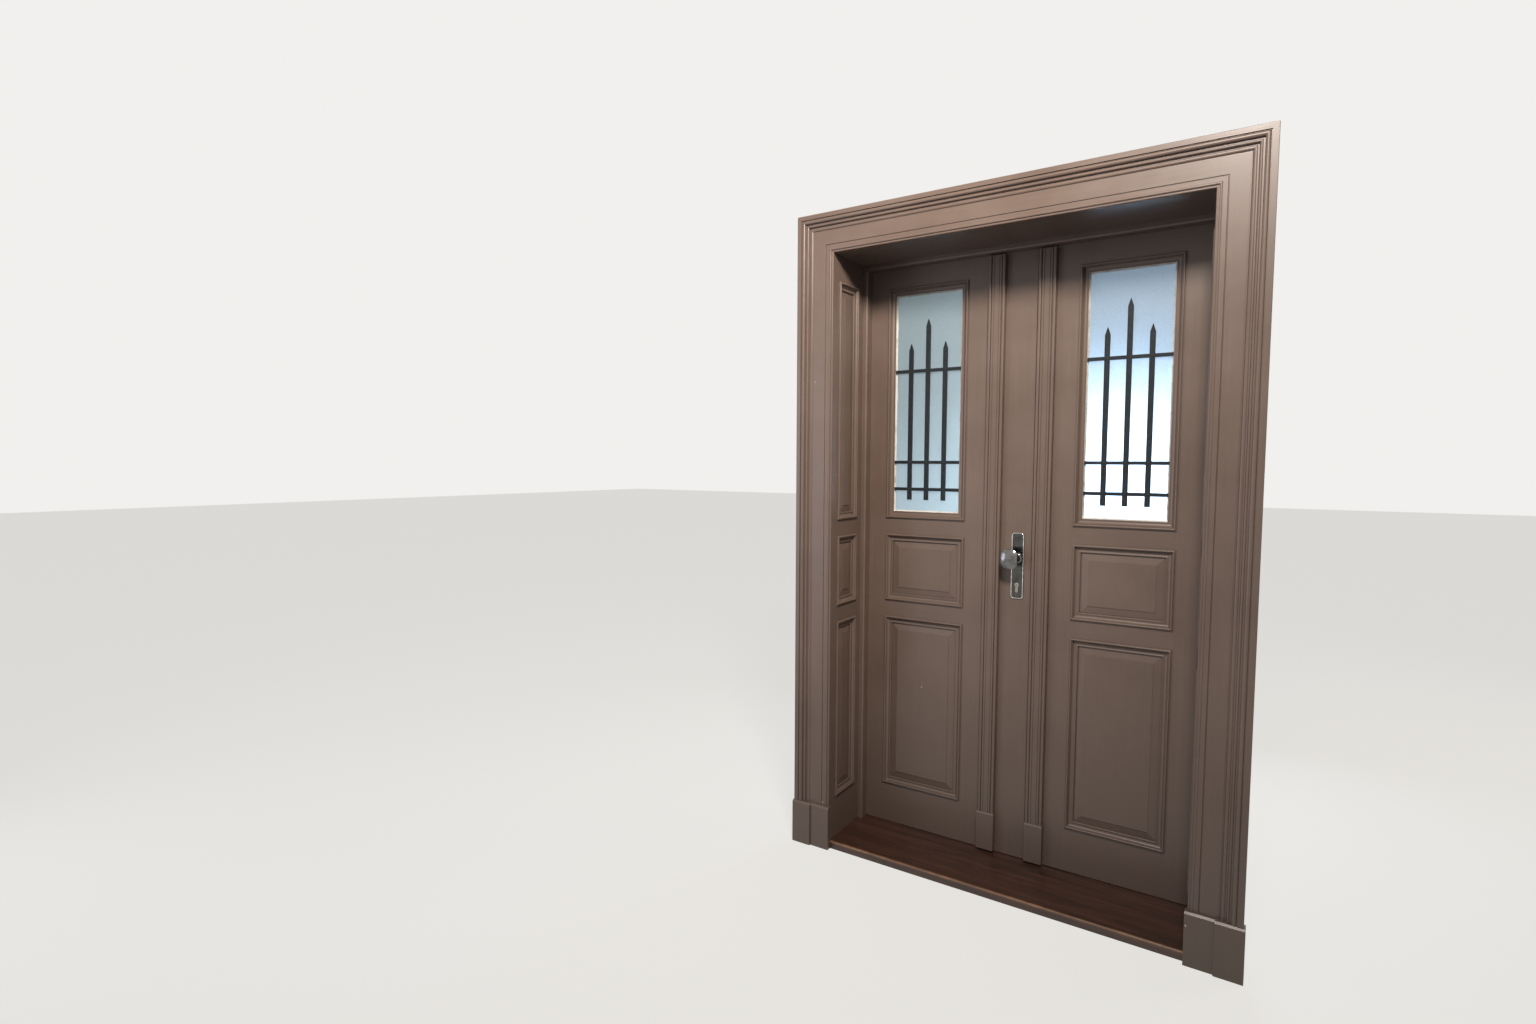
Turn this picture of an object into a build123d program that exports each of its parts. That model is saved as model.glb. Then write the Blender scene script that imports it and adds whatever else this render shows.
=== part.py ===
from build123d import *
import os

# A pair of panelled and glazed french doors in their moulded door casing.
# The origin lies on the floor, in the middle of the doorway, in the plane of the wall face.
# X runs to the right, Y into the wall and away from the approach side, Z up.

# Casing round the doorway, its profile given from the outer edge inwards
opening_width = 1290.0
opening_height = 2388.0
casing_width = 152.0
casing_thickness = 29.0
casing_band = 17.0
casing_torus = 14.0
casing_bead = 8.0
casing_cove_bead = 11.0
casing_quirk = 2.5
casing_fascia_drop = 17.0
casing_line_from_edge = 33.0
casing_edge_bead = 6.0
lining_tongue = 4.0
plinth_height = 174.0
plinth_thickness = 34.0
plinth_step = 7.0
plinth_bevel = 6.0
plinth_outer_lip = 5.0
plinth_inner_lip = 7.0

# Reveal linings
lining_depth = 248.0
lining_thickness = 22.0
lining_margin = 42.0
recess_depth = 14.0

# Door frame and threshold
frame_face = 22.0
frame_back_width = 40.0
frame_nosing = 7.7
stop_depth = 41.0
rebate_overlap = 12.0
leaf_gap = 3.0
head_depth = 44.0
fixing_diameter = 10.0
fixing_spacing = 600.0
fixing_low_z = 550.0
fixing_below_head = 516.0
threshold_height = 30.0
threshold_nosing = 5.0

# Leaves
leaf_thickness = 45.0
lock_edge_x = 57.5
meeting_gap = 3.5
hinge_stile_width = 90.0
top_rail_height = 90.0
panel_inner_x = 205.0
glass_bottom = 1341.0
middle_top = 1276.0
middle_bottom = 993.0
lower_top = 927.0
lower_bottom = 199.0

# Bolection mouldings, measured from the outer edge inwards
moulding_width = 30.0
moulding_lap = 8.0
moulding_rise = 7.5
moulding_sink = 10.0
moulding_bead = 8.0
moulding_quirk = 1.5
moulding_hollow = 3.5
inner_bead = 4.5
glass_sink = 18.0
glass_thickness = 6.0
back_rise = 5.0
back_margin = 10.0
seat_gap = 0.3

# Raised and fielded panels
bevel_width = 28.0
bevel_rise = 5.0
field_step = 2.0

# Moulded strips beside the meeting edges
strip_width = 64.0
strip_thickness = 22.0
strip_top_gap = 6.0
strip_left_x = -122.5
strip_edge_inset = 2.5
strip_bead = 12.0
strip_bead_round = 4.5
strip_groove_width = 2.5
strip_groove_depth = 6.0
strip_field_drop = 1.5
strip_line_offset = 10.0
strip_line_size = 1.2
block_height = 150.0
block_thickness = 25.0
block_lift = 7.0
block_lip = 2.0
block_bevel = 6.0

# Wrought grille in front of the glass
bar_width = 18.0
bar_thickness = 8.0
bar_spacing = 73.0
cross_bar_height = 13.0
tip_length = 28.0
foot_above_glass_bottom = 79.0
centre_tip_below_glass_top = 134.0
side_tip_below_glass_top = 229.0
first_cross_above_foot = 44.0
second_cross_above_foot = 155.0
top_cross_below_side_tip = 111.0

# Hinges
hinge_length = 110.0
knuckle_diameter = 14.0
knuckle_gap = 0.3
hinge_pin_diameter = 8.0
hinge_pin_short = 6.0
hinge_bore_gap = 0.1
hinge_plate_thickness = 2.5
hinge_plate_width = 30.0
low_hinge_above_foot = 297.0
middle_hinge_z = 1180.0
high_hinge_below_top = 298.0

# Lock and its furniture
backset = 50.0
knob_z = 1210.0
cylinder_z = 1107.0
plate_width = 48.0
plate_height = 256.0
plate_thickness = 3.0
plate_corner = 12.0
plate_bevel = 1.2
plate_middle_z = 1180.0
boss_diameter = 44.0
boss_height = 15.0
boss_round = 9.0
knob_width = 63.0
knob_height = 73.0
knob_corner = 13.0
knob_thickness = 16.0
knob_crown = 75.0
knob_round = 2.5
knob_back_bevel = 4.0
knob_offset = 16.0
knob_reach = 52.0
neck_diameter = 21.0
neck_bend = 13.0
neck_straight = 8.0
neck_seat = 3.0
cylinder_round = 17.0
cylinder_web = 10.0
cylinder_drop = 25.0
cylinder_proud = 3.0
case_depth = 78.0
case_margin = 2.5
case_above_knob = 34.5
case_thickness = 15.0
forend_width = 22.0
forend_reach = 35.0
forend_thickness = 3.0
bolt_width = 34.0
bolt_thickness = 12.0
bolt_above_cylinder = 6.0
bolt_throw = 20.0
bolt_tail = 40.0
turn_width = 34.0
turn_height = 12.0
turn_depth = 18.0
turn_gap = 0.5
turn_round = 2.0
strike_height = 120.0
strike_gap = 1.5
strike_pocket = 4.0

# Edge bolts of the second leaf
rod_diameter = 12.0
rod_length = 220.0
rod_throw = 18.0
rod_inset = 24.0
rod_setback = 1.0
rod_nose = 1.5
bore_extra = 4.0
socket_gap = 1.0
keep_width = 44.0
running_gap = 0.5

# Values worked out from the sizes above
half_opening = opening_width / 2
half_outer = half_opening + casing_width
casing_top = opening_height + casing_width
frame_front = lining_depth
leaf_front = frame_front + stop_depth
leaf_back = leaf_front + leaf_thickness
stop_x = half_opening - frame_face
leaf_edge_x = stop_x + rebate_overlap
rebate_x = leaf_edge_x + leaf_gap
frame_outer_x = half_opening + frame_back_width
stop_z = opening_height - frame_face
leaf_top = stop_z + rebate_overlap
rebate_z = leaf_top + leaf_gap
leaf_bottom = threshold_height + leaf_gap
fixing_middles = (fixing_low_z, stop_z - fixing_below_head)
second_edge_x = lock_edge_x + meeting_gap
panel_outer_x = leaf_edge_x - hinge_stile_width
glass_top = leaf_top - top_rail_height
field_middle_x = (panel_outer_x + panel_inner_x) / 2
field_width = panel_outer_x - panel_inner_x
hinge_axis_x = (leaf_edge_x + rebate_x) / 2
hinge_axis_y = leaf_back + knuckle_diameter / 2 + knuckle_gap
hinge_heights = (leaf_bottom + low_hinge_above_foot, middle_hinge_z, leaf_top - high_hinge_below_top)
grille_foot_z = glass_bottom + foot_above_glass_bottom
centre_tip_z = glass_top - centre_tip_below_glass_top
side_tip_z = glass_top - side_tip_below_glass_top
cross_bar_heights = (
    grille_foot_z + first_cross_above_foot, grille_foot_z + second_cross_above_foot,
    side_tip_z - top_cross_below_side_tip,
)
plate_x = lock_edge_x - backset
bolt_z = cylinder_z + cylinder_round / 2 + bolt_width / 2 + bolt_above_cylinder
case_foot = cylinder_z - cylinder_drop - cylinder_web / 2 - case_margin
case_head = knob_z + case_above_knob
strip_top = stop_z - strip_top_gap
block_bottom = leaf_bottom + block_lift
block_top = block_bottom + block_height
rod_x = second_edge_x + rod_inset
rod_y = leaf_front + leaf_thickness / 2
lock_y = leaf_front + leaf_thickness / 2


def facing(y):
    """Plane at depth y that looks back at the approach side, with its own Y up."""
    return Plane(origin=(0, y, 0), x_dir=(1, 0, 0), z_dir=(0, -1, 0))


def facing_away(y):
    """Plane at depth y that looks away from the approach side, with its own Y up."""
    return Plane(origin=(0, y, 0), x_dir=(-1, 0, 0), z_dir=(0, 1, 0))


def block(x0, x1, y0, y1, z0, z1):
    """Box between two corners."""
    corner = Align.MIN, Align.MIN, Align.MIN
    return Pos(x0, y0, z0) * Box(x1 - x0, y1 - y0, z1 - z0, align=corner)


def upright(radius, height):
    """Cylinder along Z that stands on the origin."""
    return Cylinder(radius, height, align=(Align.CENTER, Align.CENTER, Align.MIN))


def mirrored(shape):
    """The same shape on the other side of the doorway's middle."""
    return mirror(shape, about=Plane.YZ)


def section(points):
    """Face from (across, height) points; a third number bows the side that ends there outwards, or inwards below 0."""
    sides = []
    for start, end in zip(points, points[1:] + points[:1]):
        if len(end) == 3:
            sides.append(SagittaArc(start[:2], end[:2], end[2]))
        else:
            sides.append(Line(start[:2], end[:2]))
    return make_face(sides)


def moulding_bar(points, length, start_mitre=True, end_mitre=True):
    """Moulding along X with its outer edge on the X axis and its inner edge towards +Y."""
    width = max(point[0] for point in points)
    reach = width + max(abs(point[1]) for point in points)
    bar = Pos(-length / 2, 0, 0) * extrude(Plane.YZ * section(points), amount=length)
    start = width if start_mitre else 0
    end = width if end_mitre else 0
    outline = Polyline(
        (-length / 2, 0), (length / 2, 0), (length / 2 - end, width), (-length / 2 + start, width), close=True
    )
    return bar & extrude(make_face(outline), amount=reach, both=True)


def moulding_ring(points, width, height):
    """Four mitred lengths round a rectangle of the given outer size, centred on the origin."""
    ring = None
    for angle, length, reach in ((0, width, height), (90, height, width), (180, width, height), (270, height, width)):
        side = Rot(0, 0, angle) * Pos(0, -reach / 2, 0) * moulding_bar(points, length)
        ring = side if ring is None else ring + side
    return ring


def casing_section():
    """Casing profile: back band, torus, two beads, fascia with a sunk line, and a beaded edge over the lining."""
    quirk = casing_quirk
    top = casing_thickness
    fascia = top - casing_fascia_drop
    torus = casing_band + quirk
    torus_top = top - quirk
    bead = torus + casing_torus + 2 * quirk
    bead_top = top - 3.5 * quirk
    cove = bead + casing_bead + 2 * quirk
    cove_top = top - 6 * quirk
    plain = cove + casing_cove_bead + 2 * quirk
    line = casing_width - casing_line_from_edge
    edge = casing_width - casing_edge_bead
    rib = edge - 4 * quirk
    rebate = casing_width - lining_thickness - seat_gap
    return [
        (0, 0), (0, top - 1), (1, top), (casing_band, top), (casing_band, torus_top - quirk / 2),
        (torus, torus_top - quirk / 2), (torus + casing_torus, torus_top - quirk, casing_torus * 0.33),
        (torus + casing_torus, bead_top - quirk / 2), (bead, bead_top - quirk / 2),
        (bead + casing_bead, bead_top - quirk, casing_bead * 0.38),
        (bead + casing_bead + quirk / 2, cove_top - quirk / 2), (cove, cove_top - quirk / 2),
        (cove + casing_cove_bead, fascia - quirk / 2, casing_cove_bead * 0.25),
        (cove + casing_cove_bead + quirk / 2, fascia - quirk), (plain, fascia - quirk), (plain, fascia),
        (line, fascia), (line + quirk / 2, fascia - quirk), (line + quirk, fascia - quirk),
        (line + 1.5 * quirk, fascia), (rib, fascia), (edge - quirk, fascia, quirk * 0.8),
        (edge - quirk, fascia - quirk), (edge, fascia - quirk),
        (casing_width, fascia - 2 * quirk, casing_edge_bead * 0.3),
        (casing_width, lining_tongue), (rebate, lining_tongue), (rebate, 0),
    ]


def bolection_section(rise, sink):
    """Moulding that laps the framing and drops into the opening: bead, quirk, wide hollow and small inner bead."""
    inner = moulding_width
    leg = moulding_lap + seat_gap
    shoulder = rise / 2
    start = moulding_quirk + moulding_bead
    hollow_end = inner - inner_bead - 1
    hollow_foot = moulding_hollow - sink * 0.75
    return [
        (0, 0), (0, shoulder), (moulding_quirk, shoulder), (start, shoulder, shoulder), (start, moulding_quirk),
        (start + moulding_quirk, moulding_quirk), (hollow_end, hollow_foot, -moulding_hollow),
        (inner - inner_bead, hollow_foot), (inner, hollow_foot - moulding_quirk, inner_bead * 0.3),
        (inner, -sink), (leg, -sink), (leg, 0),
    ]


def back_section(rise, sink):
    """Plainer moulding of the inner side: a flat margin and one hollow."""
    inner = moulding_width
    leg = moulding_lap + seat_gap
    return [
        (0, 0), (0, rise), (back_margin, rise), (inner, moulding_hollow - sink, -moulding_hollow * 0.7),
        (inner, -sink), (leg, -sink), (leg, 0),
    ]


def raised_panel(width, height, thickness, sides):
    """Panel in the XY plane, raised and fielded on the given sides, with its middle plane at Z = 0."""
    margin = moulding_width - moulding_lap - seat_gap
    inset = margin + bevel_width
    panel = Box(width, height, thickness)
    for side in sides:
        base = Pos(0, 0, side * thickness / 2) * Rectangle(width - 2 * margin, height - 2 * margin)
        crown = side * (thickness / 2 + bevel_rise)
        panel += loft([base, Pos(0, 0, crown) * Rectangle(width - 2 * inset, height - 2 * inset)])
        panel += Pos(0, 0, crown) * Box(width - 2 * inset, height - 2 * inset, 2 * field_step)
    return panel


# Casing, plinths and threshold
def make_casing():
    jamb_length = casing_top - plinth_height
    jamb = moulding_bar(casing_section(), jamb_length, start_mitre=True, end_mitre=False)
    middle_z = plinth_height + jamb_length / 2
    left = facing(0) * Pos(-half_outer, middle_z, 0) * Rot(0, 0, 270) * jamb
    head = facing(0) * Pos(0, casing_top, 0) * Rot(0, 0, 180) * moulding_bar(casing_section(), 2 * half_outer)
    return left, mirrored(left), head


def make_plinth():
    """Plinth block, thicker under the casing's mouldings than under its fascia, housed over the lining's edge."""
    outer = half_outer + plinth_outer_lip
    inner = half_opening - plinth_inner_lip
    step_x = half_outer - casing_width / 2
    left = block(-outer, -step_x, -plinth_thickness, 0, 0, plinth_height)
    left += block(-step_x, -inner, plinth_step - plinth_thickness, 0, 0, plinth_height)
    top_front = left.edges().filter_by(Axis.X).group_by(Axis.Z)[-1].filter_by(
        lambda edge: edge.center().Y < -plinth_thickness / 2
    )
    left = chamfer(top_front, plinth_bevel)
    housing_x = half_opening + lining_thickness + seat_gap
    left -= block(-housing_x, -half_opening + seat_gap, -lining_tongue, 1, -1, plinth_height + 1)
    return left, mirrored(left)


def make_threshold():
    between_plinths = half_opening - plinth_inner_lip - seat_gap
    between_linings = half_opening - seat_gap
    board = block(-between_linings, between_linings, 0, lining_depth, 0, threshold_height)
    board += block(-frame_outer_x, frame_outer_x, lining_depth, leaf_back, 0, threshold_height)
    board += block(-between_plinths, between_plinths, -threshold_nosing, 0, 0, threshold_height)
    nosing = board.edges().filter_by(Axis.X).group_by(Axis.Y)[0].group_by(Axis.Z)[-1]
    board = fillet(nosing, threshold_nosing * 0.9)
    return board - socket(threshold_height / 2, threshold_height + 2)


# Reveal linings with their panels
def panel_rows():
    """Bottom and top of the outer edges of the three mouldings, one above the other."""
    return (lower_bottom, lower_top), (middle_bottom, middle_top), (glass_bottom, glass_top)


def make_lining():
    """Left reveal board with its three sunk panels and their mouldings."""
    face = Plane(origin=(-half_opening, 0, 0), x_dir=(0, 1, 0), z_dir=(1, 0, 0))
    width = lining_depth - 2 * lining_margin
    front = seat_gap - lining_tongue
    board = block(-half_opening - lining_thickness, -half_opening, front, lining_depth, 0, opening_height)
    panels = []
    mouldings = []
    for bottom, top in panel_rows():
        height = top - bottom
        place = face * Pos(lining_depth / 2, (bottom + top) / 2, 0)
        board -= place * Box(width - 2 * moulding_lap, height - 2 * moulding_lap, 2 * recess_depth)
        lap = moulding_lap + seat_gap
        thickness = recess_depth - moulding_sink
        panel = raised_panel(width - 2 * lap, height - 2 * lap, thickness, sides=(1,))
        panels.append(place * Pos(0, 0, thickness / 2 - recess_depth) * panel)
        ring = moulding_ring(bolection_section(moulding_rise, moulding_sink), width, height)
        mouldings.append(place * ring)
    return board, panels, mouldings


def make_head_lining():
    outer = half_opening + lining_thickness
    front = seat_gap - lining_tongue
    return block(-outer, outer, front, lining_depth, opening_height, opening_height + lining_thickness)


# Door frame
def make_posts():
    stop = block(-frame_outer_x, -stop_x, frame_front, leaf_front - seat_gap, threshold_height, stop_z)
    arris = stop.edges().filter_by(Axis.Z).group_by(Axis.Y)[0].group_by(Axis.X)[-1]
    stop = fillet(arris, frame_nosing)
    back = block(-frame_outer_x, -rebate_x, leaf_front - seat_gap, leaf_back, threshold_height, rebate_z)
    post = stop + back
    for z in hinge_heights:
        post -= hinge_recess(z, leaf_half=False)
    for middle in fixing_middles:
        for z in (middle - fixing_spacing / 2, middle + fixing_spacing / 2):
            post -= Pos(-half_opening, rod_y, z) * Rot(0, 90, 0) * Cylinder(fixing_diameter / 2, half_opening)
    return post, mirrored(post)


def make_frame_head():
    """Stop bar over the leaves, and behind it two lengths with the keep block of the upper bolt between them."""
    top = opening_height + head_depth
    rebate_y = leaf_front - seat_gap
    stop = block(-frame_outer_x, frame_outer_x, frame_front, rebate_y, stop_z, top)
    arris = stop.edges().filter_by(Axis.X).group_by(Axis.Y)[0].group_by(Axis.Z)[0]
    stop = fillet(arris, frame_nosing)
    keep_x0, keep_x1 = rod_x - keep_width / 2, rod_x + keep_width / 2
    left = block(-frame_outer_x, keep_x0, rebate_y, leaf_back, rebate_z, top)
    right = block(keep_x1, frame_outer_x, rebate_y, leaf_back, rebate_z, top)
    keep = block(keep_x0, keep_x1, rebate_y, leaf_back, rebate_z, top)
    return together([stop, left, right]), keep - socket((rebate_z + top) / 2, top - rebate_z + 2)


def socket(middle_z, height):
    """Square mortice, right through, for the nose of an edge bolt."""
    width = rod_diameter + 2 * socket_gap
    return Pos(rod_x, rod_y, middle_z) * Box(width, width, height)


# Hinges, set up for the left leaf and mirrored for the right one
def hinge_recess(z, leaf_half):
    """Shallow housing for one hinge plate, in the leaf's edge or in the frame's rebate."""
    depth = hinge_plate_thickness - (leaf_gap - 2 * seat_gap) / 2 + seat_gap
    y0 = leaf_back - hinge_plate_width - seat_gap
    if leaf_half:
        x0, x1 = -leaf_edge_x - seat_gap, -leaf_edge_x + depth
        z0, z1 = z - seat_gap, z + hinge_length / 2 + seat_gap
    else:
        x0, x1 = -rebate_x - depth, -rebate_x + seat_gap
        z0, z1 = z - hinge_length / 2 - seat_gap, z + seat_gap
    return block(x0, x1, y0, leaf_back + 1, z0, z1)


def hinge_half(z, leaf_half):
    """Knuckle and plate; the frame's lower half also carries the pin that the leaf's half drops on."""
    half = hinge_length / 2
    bottom = z + seat_gap if leaf_half else z - half
    barrel = Pos(-hinge_axis_x, hinge_axis_y, bottom) * upright(knuckle_diameter / 2, half - seat_gap)
    y0 = leaf_back - hinge_plate_width
    if leaf_half:
        x0 = -hinge_axis_x + seat_gap
        plate = block(x0, x0 + hinge_plate_thickness, y0, hinge_axis_y, bottom, bottom + half - seat_gap)
        bore = upright(hinge_pin_diameter / 2 + hinge_bore_gap, half)
        return barrel + plate - Pos(-hinge_axis_x, hinge_axis_y, bottom - seat_gap) * bore
    x1 = -hinge_axis_x - seat_gap
    plate = block(x1 - hinge_plate_thickness, x1, y0, hinge_axis_y, bottom, bottom + half - seat_gap)
    pin = upright(hinge_pin_diameter / 2, hinge_length - hinge_pin_short)
    return barrel + plate + Pos(-hinge_axis_x, hinge_axis_y, bottom) * pin


# One leaf: framing, panels, mouldings and glass. The left leaf is made, the right one is its mirror
# apart from the width of its meeting stile.
def leaf_framing(meeting_x):
    """Stiles and rails of the left leaf, whose meeting stile ends at meeting_x."""
    y0, y1 = leaf_front, leaf_back
    inner_left = -panel_outer_x + moulding_lap
    inner_right = -panel_inner_x - moulding_lap
    hinge_stile = block(-leaf_edge_x, inner_left, y0, y1, leaf_bottom, leaf_top)
    for z in hinge_heights:
        hinge_stile -= hinge_recess(z, leaf_half=True)
    meeting_stile = block(inner_right, meeting_x, y0, y1, leaf_bottom, leaf_top)
    edges = (
        (leaf_bottom, lower_bottom + moulding_lap),
        (lower_top - moulding_lap, middle_bottom + moulding_lap),
        (middle_top - moulding_lap, glass_bottom + moulding_lap),
        (glass_top - moulding_lap, leaf_top),
    )
    rails = [block(inner_left, inner_right, y0, y1, bottom, top) for bottom, top in edges]
    return hinge_stile, meeting_stile, rails


def leaf_panels():
    """The two raised panels of the left leaf, held between the front and back mouldings."""
    lap = moulding_lap + seat_gap
    thickness = leaf_thickness - 2 * moulding_sink
    panels = []
    for bottom, top in panel_rows()[:2]:
        place = facing(leaf_front + leaf_thickness / 2) * Pos(-field_middle_x, (bottom + top) / 2, 0)
        panels.append(place * raised_panel(field_width - 2 * lap, top - bottom - 2 * lap, thickness, sides=(1, -1)))
    return panels


def leaf_mouldings():
    """Front and back mouldings of the left leaf: lower panel, middle panel and glass."""
    front = []
    back = []
    glass_back_sink = leaf_thickness - glass_sink - glass_thickness
    for row, (bottom, top) in enumerate(panel_rows()):
        height = top - bottom
        middle = (bottom + top) / 2
        glazed = row == 2
        front_points = bolection_section(moulding_rise, glass_sink if glazed else moulding_sink)
        back_points = back_section(back_rise, glass_back_sink if glazed else moulding_sink)
        front_place = facing(leaf_front) * Pos(-field_middle_x, middle, 0)
        back_place = facing_away(leaf_back) * Pos(field_middle_x, middle, 0)
        front.append(front_place * moulding_ring(front_points, field_width, height))
        back.append(back_place * moulding_ring(back_points, field_width, height))
    return front, back


def leaf_glass():
    lap = moulding_lap + seat_gap
    middle_y = leaf_front + glass_sink + glass_thickness / 2
    place = Pos(-field_middle_x, middle_y, (glass_top + glass_bottom) / 2)
    return place * Box(field_width - 2 * lap, glass_thickness, glass_top - glass_bottom - 2 * lap)


def leaf_grille():
    """Three upright flat bars with spear tips, forged together with three flat cross bars."""
    daylight = field_width - 2 * moulding_width - 2 * seat_gap
    place = facing(leaf_front + glass_sink - seat_gap) * Pos(-field_middle_x, 0, 0)
    half = bar_width / 2
    grille = None
    for offset, tip in ((-bar_spacing, side_tip_z), (0, centre_tip_z), (bar_spacing, side_tip_z)):
        outline = Polyline(
            (offset - half, grille_foot_z), (offset + half, grille_foot_z), (offset + half, tip - tip_length),
            (offset, tip), (offset - half, tip - tip_length), close=True,
        )
        bar = extrude(make_face(outline), amount=bar_thickness)
        grille = bar if grille is None else grille + bar
    for z in cross_bar_heights:
        grille += Pos(0, z, bar_thickness / 2) * Box(daylight, cross_bar_height, bar_thickness)
    return place * grille


# Moulded strips and their blocks
def make_strip(left_x):
    """Upright strip with a round bead along each edge, a groove beside it and two fine lines on the flat middle."""
    front = leaf_front - strip_thickness
    middle_x = left_x + strip_width / 2
    field_half = strip_width / 2 - strip_bead - strip_groove_width
    z0, z1 = block_top, strip_top
    strip = block(left_x, left_x + strip_width, front, leaf_front, z0, z1)
    strip -= block(middle_x - field_half, middle_x + field_half, front - 1, front + strip_field_drop, z0 - 1, z1 + 1)
    for side in (-1, 1):
        groove_x = middle_x + side * (field_half + strip_groove_width / 2)
        strip -= Pos(groove_x, front, (z0 + z1) / 2) * Box(strip_groove_width, 2 * strip_groove_depth, z1 - z0 + 2)
        line_x = middle_x + side * strip_line_offset
        line = Rot(0, 0, 45) * Box(strip_line_size * 1.5, strip_line_size * 1.5, z1 - z0 + 2)
        strip -= Pos(line_x, front + strip_field_drop, (z0 + z1) / 2) * line
    arrises = strip.edges().filter_by(Axis.Z).group_by(Axis.Y)[0]
    return fillet(arrises, strip_bead_round)


def make_block(left_x, left_lip, right_lip):
    """Block at a strip's foot, wider and thicker than the strip, its top bevelled back to the strip's faces."""
    x0, x1 = left_x - left_lip, left_x + strip_width + right_lip
    top = block_top - seat_gap
    shoulder = top - block_bevel
    base = block(x0, x1, leaf_front - block_thickness, leaf_front, block_bottom, shoulder)
    wide = Pos((x0 + x1) / 2, leaf_front - block_thickness / 2, shoulder) * Rectangle(x1 - x0, block_thickness)
    narrow_place = Pos(left_x + strip_width / 2, leaf_front - strip_thickness / 2, top)
    return base + loft([wide, narrow_place * Rectangle(strip_width, strip_thickness)])


# Lock, in the meeting stile of the first leaf
def case_solid(gap, front_gap):
    """Lock case and its forend; with gaps it is what is cut out of the stile for them."""
    x1 = lock_edge_x - forend_thickness
    half = case_thickness / 2 + gap
    forend_half = forend_width / 2 + front_gap
    forend_x1 = lock_edge_x + (1 if gap else 0)
    case = block(x1 - case_depth - gap, x1, lock_y - half, lock_y + half, case_foot - gap, case_head + gap)
    forend_z0, forend_z1 = case_foot - forend_reach - front_gap, case_head + forend_reach + front_gap
    return case + block(x1, forend_x1, lock_y - forend_half, lock_y + forend_half, forend_z0, forend_z1)


def cylinder_body(gap, length):
    """Profile of the lock cylinder: a round part over a narrower web, along Y through the leaf."""
    web_width = cylinder_web + 2 * gap
    web = Pos(0, -cylinder_drop / 2) * Rectangle(web_width, cylinder_drop)
    foot = Pos(0, -cylinder_drop) * Circle(web_width / 2)
    profile = Circle(cylinder_round / 2 + gap) + web + foot
    return facing(lock_y) * Pos(plate_x, cylinder_z, 0) * extrude(profile, amount=length / 2, both=True)


def bolt_solid(gap):
    """Dead bolt, drawn in until its nose is level with the forend; with a gap it is its channel."""
    x1 = lock_edge_x + (1 if gap else 0)
    half = bolt_thickness / 2 + gap
    return block(
        lock_edge_x - bolt_tail - gap, x1, lock_y - half, lock_y + half,
        bolt_z - bolt_width / 2 - gap, bolt_z + bolt_width / 2 + gap,
    )


def make_plate(plane):
    """Long lock plate with rounded corners and an eased front edge."""
    plate = extrude(RectangleRounded(plate_width, plate_height, plate_corner), amount=plate_thickness)
    plate = chamfer(plate.faces().sort_by(Axis.Z)[-1].edges(), plate_bevel)
    return plane * Pos(0, plate_middle_z, 0) * plate - cylinder_body(seat_gap, 2 * leaf_thickness)


def make_knob(plane, offset):
    """Fixed knob: domed boss, cranked neck and a cushion head with cut corners."""
    boss = upright(boss_diameter / 2, boss_height)
    boss = fillet(boss.faces().sort_by(Axis.Z)[-1].edges(), boss_round)
    start = (0, 0, boss_height - neck_seat)
    path = FilletPolyline(
        start, (0, 0, boss_height + neck_straight), (offset, 0, knob_reach - neck_straight),
        (offset, 0, knob_reach + neck_seat), radius=neck_bend,
    )
    neck = sweep(Plane(origin=start, z_dir=(0, 0, 1)) * Circle(neck_diameter / 2), path=path)
    outline = chamfer(Rectangle(knob_width, knob_height).vertices(), knob_corner)
    head = extrude(outline, amount=knob_thickness)
    head &= Pos(0, 0, knob_thickness - knob_crown) * Rot(90, 0, 0) * Sphere(knob_crown)
    head = fillet(head.faces().sort_by(Axis.Z)[-1].edges(), knob_round)
    head = chamfer(head.faces().sort_by(Axis.Z)[0].edges(), knob_back_bevel)
    return plane * Pos(0, knob_z, plate_thickness) * (boss + neck + Pos(offset, 0, knob_reach) * head)


def make_turn():
    """Oval thumb-turn on the inner end of the cylinder, with a short round collar."""
    collar = upright(cylinder_round / 2 - 1, turn_depth / 2)
    grip = extrude(Ellipse(turn_width / 2, turn_height / 2), amount=turn_depth)
    grip = Pos(0, 0, turn_depth / 4) * fillet(grip.faces().sort_by(Axis.Z)[-1].edges(), turn_round)
    place = facing_away(leaf_back + plate_thickness + cylinder_proud + turn_gap) * Pos(-plate_x, cylinder_z, 0)
    return place * (collar + grip)


def strike_solid(gap):
    """Flat keep let into the edge of the second leaf; with a gap it is its housing."""
    half = forend_width / 2 + gap
    x0 = second_edge_x - (1 if gap else 0)
    return block(
        x0, second_edge_x + forend_thickness + gap, lock_y - half, lock_y + half,
        bolt_z - strike_height / 2 - gap, bolt_z + strike_height / 2 + gap,
    )


def strike_slot():
    """Pocket that the thrown dead bolt enters."""
    half = bolt_thickness / 2 + strike_gap
    half_height = bolt_width / 2 + strike_gap
    return block(
        second_edge_x - 1, second_edge_x + bolt_throw + strike_pocket, lock_y - half, lock_y + half,
        bolt_z - half_height, bolt_z + half_height,
    )


# Edge bolts of the second leaf
def make_rod(upper):
    """Round bolt that lies in a bore from the top or bottom edge of the leaf."""
    z0 = leaf_top - rod_setback - rod_length if upper else leaf_bottom + rod_setback
    rod = upright(rod_diameter / 2, rod_length)
    nose = rod.faces().sort_by(Axis.Z)[-1 if upper else 0].edges()
    return Pos(rod_x, rod_y, z0) * chamfer(nose, rod_nose)


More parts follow.
